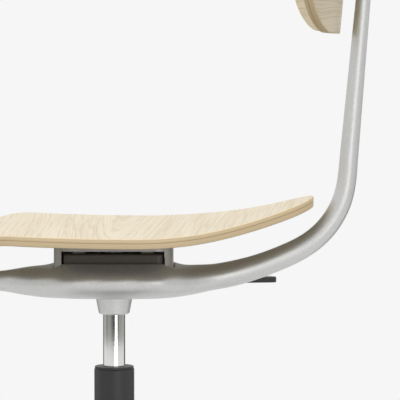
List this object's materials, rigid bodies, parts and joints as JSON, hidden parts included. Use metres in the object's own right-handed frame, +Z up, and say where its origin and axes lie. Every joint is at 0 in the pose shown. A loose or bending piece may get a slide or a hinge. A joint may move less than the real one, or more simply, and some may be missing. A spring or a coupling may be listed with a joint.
{
  "type": "swivel chair",
  "caption": "Plywood swivel chair: curved seat on a silver J-shaped spine with upright and back, rubber-sprung seat carrier, gas column with lever, star base on castors.",
  "frame": {"origin": "on the floor, on the axis of the column", "axes": "+Z up; the sitter faces -Y; +X is the sitter's left"},
  "size_m": [0.6016, 0.6304, 0.9218],
  "materials": {
    "seat_wood": "clear satin lacquer on pale veneer",
    "back_wood": "clear satin lacquer on pale veneer",
    "spine_silver": "satin silver paint",
    "base_silver": "satin silver paint",
    "back_silver": "satin silver paint",
    "carrier_grey": "bare casting",
    "block_dark": "dark satin paint",
    "chrome_tube": "polished",
    "column_black": "black powder coat",
    "bush_black": "moulded",
    "valve_grey": "turned",
    "lever_black": "black coat",
    "grip_black": "moulded",
    "castor_black": "moulded",
    "wheel_black": "moulded",
    "steel": "zinc plated",
    "rubber_black": "moulded",
    "rubber_grey": "moulded"
  },
  "bodies": {
    "base": {"base_star": "base_silver", "standing_tube": "column_black", "guide_bush": "bush_black", "lower_race": "steel", "thrust_balls": "steel"},
    "castor_1": {"castor_1_housing": "castor_black", "castor_1_stem": "steel", "castor_1_axle": "steel"},
    "castor_1_left": {"castor_1_wheel_left": "wheel_black"},
    "castor_1_right": {"castor_1_wheel_right": "wheel_black"},
    "castor_2": {"castor_2_housing": "castor_black", "castor_2_stem": "steel", "castor_2_axle": "steel"},
    "castor_2_left": {"castor_2_wheel_left": "wheel_black"},
    "castor_2_right": {"castor_2_wheel_right": "wheel_black"},
    "castor_3": {"castor_3_housing": "castor_black", "castor_3_stem": "steel", "castor_3_axle": "steel"},
    "castor_3_left": {"castor_3_wheel_left": "wheel_black"},
    "castor_3_right": {"castor_3_wheel_right": "wheel_black"},
    "castor_4": {"castor_4_housing": "castor_black", "castor_4_stem": "steel", "castor_4_axle": "steel"},
    "castor_4_left": {"castor_4_wheel_left": "wheel_black"},
    "castor_4_right": {"castor_4_wheel_right": "wheel_black"},
    "castor_5": {"castor_5_housing": "castor_black", "castor_5_stem": "steel", "castor_5_axle": "steel"},
    "castor_5_left": {"castor_5_wheel_left": "wheel_black"},
    "castor_5_right": {"castor_5_wheel_right": "wheel_black"},
    "rod": {"piston_rod": "steel", "piston": "steel", "upper_race": "steel", "retaining_clip": "steel"},
    "upper": {"pressure_tube": "chrome_tube", "rod_gland": "bush_black", "spine": "spine_silver", "tilt_block": "block_dark", "block_screws": "steel", "tilt_axle": "steel", "buffer_front": "rubber_grey", "buffer_rear": "rubber_grey", "lever_pin": "steel", "back_bush": "rubber_black"},
    "valve": {"valve_pin": "valve_grey"},
    "lever": {"lever_bar": "lever_black", "lever_grip": "grip_black"},
    "seat": {"seat_carrier": "carrier_grey", "seat_shell": "seat_wood", "seat_screws": "steel", "seat_inserts": "steel", "seat_pads": "rubber_black"},
    "back": {"back_carrier": "back_silver", "back_pin": "steel", "back_shell": "back_wood", "back_screws": "steel", "back_inserts": "steel", "back_pads": "rubber_black"}
  },
  "joints": [
    {"name": "castor_1_swivel", "type": "hinge", "parent": "base", "child": "castor_1", "pos_m": [0, -0.29, 0.068], "axis": [0, 0, 1], "continuous": true},
    {"name": "castor_1_left_roll", "type": "hinge", "parent": "castor_1", "child": "castor_1_left", "pos_m": [0, -0.27, 0.03], "axis": [1, 0, 0], "continuous": true},
    {"name": "castor_1_right_roll", "type": "hinge", "parent": "castor_1", "child": "castor_1_right", "pos_m": [0, -0.27, 0.03], "axis": [1, 0, 0], "continuous": true},
    {"name": "castor_2_swivel", "type": "hinge", "parent": "base", "child": "castor_2", "pos_m": [0.27581, -0.08962, 0.068], "axis": [0, 0, 1], "continuous": true},
    {"name": "castor_2_left_roll", "type": "hinge", "parent": "castor_2", "child": "castor_2_left", "pos_m": [0.27581, -0.06961, 0.03], "axis": [1, 0, 0], "continuous": true},
    {"name": "castor_2_right_roll", "type": "hinge", "parent": "castor_2", "child": "castor_2_right", "pos_m": [0.27581, -0.06961, 0.03], "axis": [1, 0, 0], "continuous": true},
    {"name": "castor_3_swivel", "type": "hinge", "parent": "base", "child": "castor_3", "pos_m": [0.17046, 0.23461, 0.068], "axis": [0, 0, 1], "continuous": true},
    {"name": "castor_3_left_roll", "type": "hinge", "parent": "castor_3", "child": "castor_3_left", "pos_m": [0.17046, 0.25461, 0.03], "axis": [1, 0, 0], "continuous": true},
    {"name": "castor_3_right_roll", "type": "hinge", "parent": "castor_3", "child": "castor_3_right", "pos_m": [0.17046, 0.25461, 0.03], "axis": [1, 0, 0], "continuous": true},
    {"name": "castor_4_swivel", "type": "hinge", "parent": "base", "child": "castor_4", "pos_m": [-0.17046, 0.23461, 0.068], "axis": [0, 0, 1], "continuous": true},
    {"name": "castor_4_left_roll", "type": "hinge", "parent": "castor_4", "child": "castor_4_left", "pos_m": [-0.17046, 0.25461, 0.03], "axis": [1, 0, 0], "continuous": true},
    {"name": "castor_4_right_roll", "type": "hinge", "parent": "castor_4", "child": "castor_4_right", "pos_m": [-0.17046, 0.25461, 0.03], "axis": [1, 0, 0], "continuous": true},
    {"name": "castor_5_swivel", "type": "hinge", "parent": "base", "child": "castor_5", "pos_m": [-0.27581, -0.08962, 0.068], "axis": [0, 0, 1], "continuous": true},
    {"name": "castor_5_left_roll", "type": "hinge", "parent": "castor_5", "child": "castor_5_left", "pos_m": [-0.27581, -0.06961, 0.03], "axis": [1, 0, 0], "continuous": true},
    {"name": "castor_5_right_roll", "type": "hinge", "parent": "castor_5", "child": "castor_5_right", "pos_m": [-0.27581, -0.06961, 0.03], "axis": [1, 0, 0], "continuous": true},
    {"name": "turn", "type": "hinge", "parent": "base", "child": "rod", "pos_m": [0, 0, 0.07], "axis": [0, 0, 1], "continuous": true},
    {"name": "height", "type": "slide", "parent": "rod", "child": "upper", "axis": [0, 0, 1], "range_m": [-0.06, 0.06]},
    {"name": "height_lever", "type": "hinge", "parent": "upper", "child": "lever", "pos_m": [-0.02067, 0.02824, 0.40018], "axis": [0.807, 0.5906, 0], "range_deg": [0, 5], "stiffness_Nm_per_rad": 2, "springref_deg": -2.86},
    {"name": "valve", "type": "slide", "parent": "upper", "child": "valve", "axis": [0, 0, 1], "range_m": [-0.0032, 0]},
    {"name": "seat_tilt", "type": "hinge", "parent": "upper", "child": "seat", "pos_m": [0, 0, 0.428], "axis": [1, 0, 0], "range_deg": [-2, 2], "stiffness_Nm_per_rad": 350, "deforming": ["buffer_front", "buffer_rear"]},
    {"name": "back_tilt", "type": "hinge", "parent": "upper", "child": "back", "pos_m": [0, 0.31347, 0.79987], "axis": [1, 0, 0], "range_deg": [-8, 8], "stiffness_Nm_per_rad": 60}
  ],
  "couplings": [
    {"joint": "valve", "follows": "height_lever", "m_per_rad": -0.035}
  ]
}
